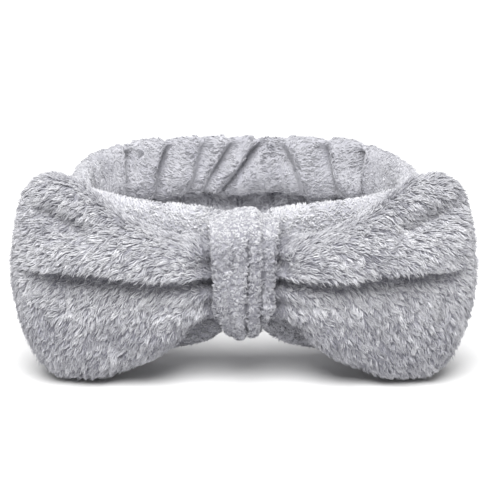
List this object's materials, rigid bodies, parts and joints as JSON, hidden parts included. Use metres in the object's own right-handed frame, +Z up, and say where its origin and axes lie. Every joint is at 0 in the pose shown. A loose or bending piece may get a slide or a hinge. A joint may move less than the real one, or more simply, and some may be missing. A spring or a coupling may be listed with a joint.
{
  "type": "spa headband",
  "caption": "Stretchy fleece headband with a large soft bow, worn round the head to keep hair off the face during washing, make-up or a spa treatment.",
  "frame": {"origin": "middle of the bounding box in plan, on the surface that the headband stands on", "axes": "+Z up, -Y to the front where the bow is, +X along the bow to the wearer's left"},
  "size_m": [0.215, 0.176, 0.1],
  "materials": {
    "fleece": "matte",
    "elastic_webbing": "satin",
    "thread": "satin"
  },
  "bodies": {
    "band": {"front_band": "fleece", "tube_seam": "thread", "side_seam_left": "fleece", "side_seam_right": "fleece", "side_casing_left": "fleece", "side_casing_right": "fleece", "elastic": "elastic_webbing", "elastic_tack_left": "thread", "elastic_tack_right": "thread", "knot_wrap": "fleece", "knot_seam": "thread", "bow_waist": "fleece", "waist_thread": "thread"},
    "rear": {"rear_casing_left": "fleece", "rear_casing_right": "fleece", "rear_seam": "fleece"},
    "wing_left": {"bow_wing_left": "fleece", "wing_seam_left": "thread"},
    "wing_right": {"bow_wing_right": "fleece", "wing_seam_right": "thread"}
  },
  "joints": [
    {"name": "band_stretch", "type": "slide", "parent": "band", "child": "rear", "axis": [0, 1, 0], "range_m": [0, 0.045], "stiffness_N_per_m": 150, "deforming": ["side_casing_left", "side_casing_right", "elastic"]},
    {"name": "wing_left_fold", "type": "hinge", "parent": "band", "child": "wing_left", "pos_m": [-0.0155, -0.082, 0.051], "axis": [0, 0, 1], "range_deg": [0, 35], "stiffness_Nm_per_rad": 0.02},
    {"name": "wing_right_fold", "type": "hinge", "parent": "band", "child": "wing_right", "pos_m": [0.0155, -0.082, 0.051], "axis": [0, 0, -1], "range_deg": [0, 35], "stiffness_Nm_per_rad": 0.02}
  ]
}
